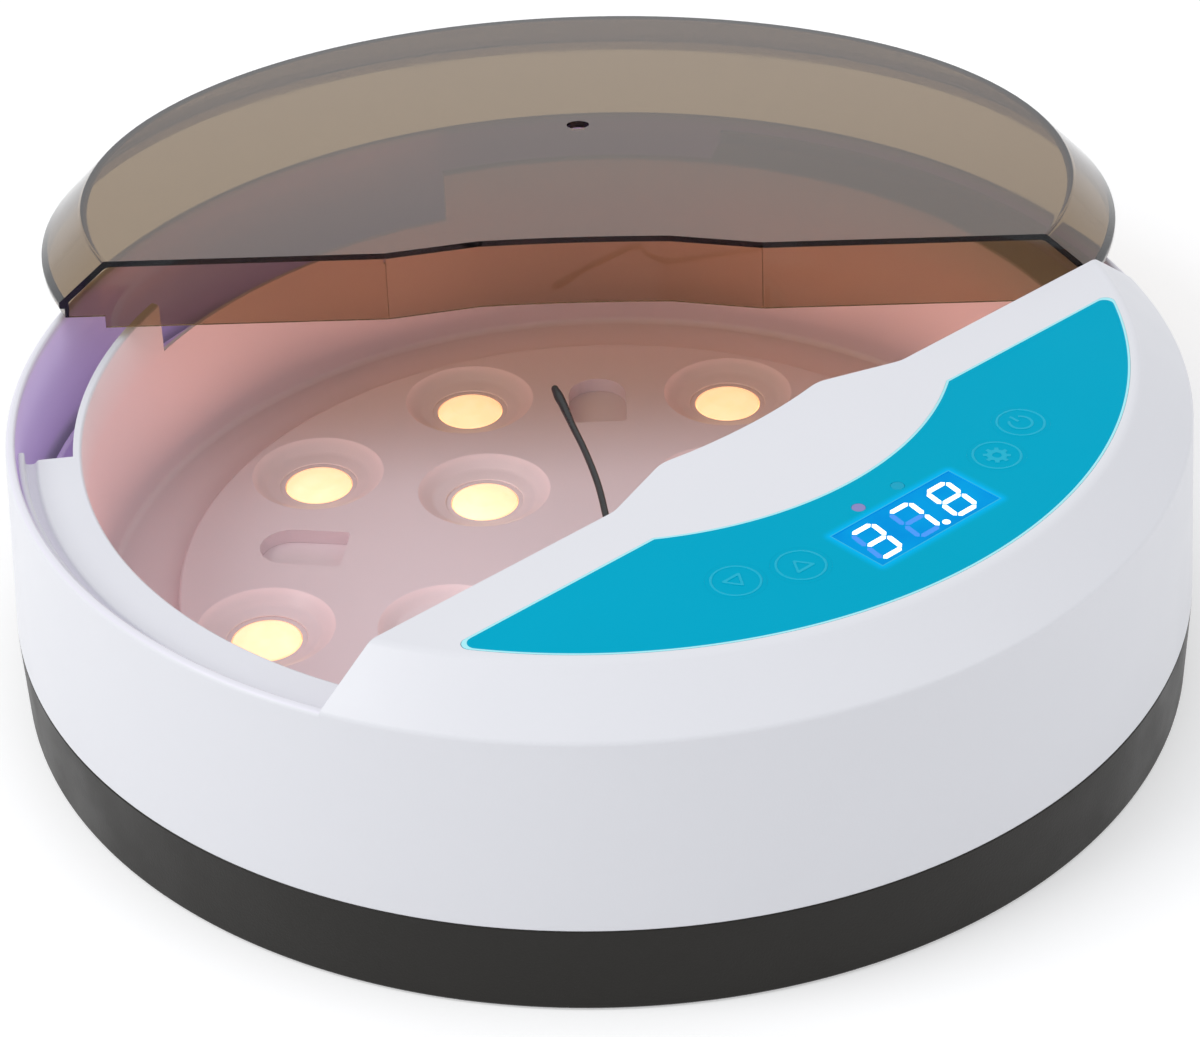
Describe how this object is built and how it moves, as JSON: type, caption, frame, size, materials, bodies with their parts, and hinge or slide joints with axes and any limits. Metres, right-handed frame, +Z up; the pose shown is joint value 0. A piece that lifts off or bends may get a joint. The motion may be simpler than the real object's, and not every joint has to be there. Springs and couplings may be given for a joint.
{
  "type": "egg incubator",
  "caption": "Round tabletop egg incubator: dark base, white drum with a keypad bridge, lit egg chamber, water channel, fan and a smoked lift-off lid lying set back on the rim",
  "frame": {"origin": "centre of the flat underside of the base, on the axis of the drum", "axes": "+Z up; the keypad bridge faces -Y, so a user looks along +Y; +X to the right"},
  "size_m": [0.3131, 0.3257, 0.0811],
  "materials": {
    "base_plastic": "dark moulded plastic, fine grain",
    "shell_plastic": "cool white moulded plastic, satin",
    "liner_plastic": "white moulded plastic, satin",
    "lid_plastic": "clear smoke-brown moulded plastic, polished",
    "film": "teal printed keypad film, satin",
    "key_film": "teal embossed film, satin",
    "display_blue": "blue back-lit window, gloss",
    "indicator": "small clear light, gloss",
    "lens": "frosted clear plastic",
    "board": "green circuit board",
    "black_plastic": "black moulded plastic",
    "rubber": "black rubber",
    "steel": "plated steel",
    "aluminium": "plain aluminium",
    "brass": "plated brass"
  },
  "bodies": {
    "drum": {"base_pan": "base_plastic", "outer_shell": "shell_plastic", "inner_liner": "liner_plastic", "water_trough_left": "liner_plastic", "water_trough_back": "liner_plastic", "water_trough_right": "liner_plastic", "egg_tray": "liner_plastic", "fan_grille": "liner_plastic", "candling_board": "board", "control_board": "board", "power_board": "board", "candling_lens_1": "lens", "candling_lens_2": "lens", "candling_lens_3": "lens", "candling_lens_4": "lens", "candling_lens_5": "lens", "candling_lens_6": "lens", "candling_lens_7": "lens", "candling_lens_8": "lens", "candling_lens_9": "lens", "keypad_film": "film", "display_window": "display_blue", "display_module": "black_plastic", "switch_down": "black_plastic", "switch_up": "black_plastic", "switch_settings": "black_plastic", "switch_power": "black_plastic", "fan_frame": "black_plastic", "transformer": "black_plastic", "power_inlet": "black_plastic", "probe_stem": "black_plastic", "probe_bead": "black_plastic", "indicator_left": "indicator", "indicator_right": "indicator", "fan_motor": "steel", "heater_bracket": "steel", "case_screw_1": "steel", "case_screw_2": "steel", "case_screw_3": "steel", "case_screw_4": "steel", "heater_element": "aluminium", "inlet_pin_left": "brass", "inlet_pin_right": "brass", "probe_grommet": "rubber", "rubber_pad_1": "rubber", "rubber_pad_2": "rubber", "rubber_pad_3": "rubber", "rubber_pad_4": "rubber"},
    "lid": {"lid_shell": "lid_plastic"},
    "impeller": {"fan_impeller": "black_plastic"},
    "down_key": {"key_down": "key_film"},
    "up_key": {"key_up": "key_film"},
    "settings_key": {"key_settings": "key_film"},
    "power_key": {"key_power": "key_film"}
  },
  "joints": [
    {"name": "lid_lift", "type": "slide", "parent": "drum", "child": "lid", "axis": [0, 0, 1], "range_m": [0, 0.08]},
    {"name": "down_press", "type": "slide", "parent": "drum", "child": "down_key", "axis": [0, 0, -1], "range_m": [0, 0.0004], "stiffness_N_per_m": 2000},
    {"name": "up_press", "type": "slide", "parent": "drum", "child": "up_key", "axis": [0, 0, -1], "range_m": [0, 0.0004], "stiffness_N_per_m": 2000},
    {"name": "settings_press", "type": "slide", "parent": "drum", "child": "settings_key", "axis": [0, 0, -1], "range_m": [0, 0.0004], "stiffness_N_per_m": 2000},
    {"name": "power_press", "type": "slide", "parent": "drum", "child": "power_key", "axis": [0, 0, -1], "range_m": [0, 0.0004], "stiffness_N_per_m": 2000},
    {"name": "fan_spin", "type": "hinge", "parent": "drum", "child": "impeller", "pos_m": [0, -0.059, 0.037], "axis": [0, 1, 0], "continuous": true}
  ]
}
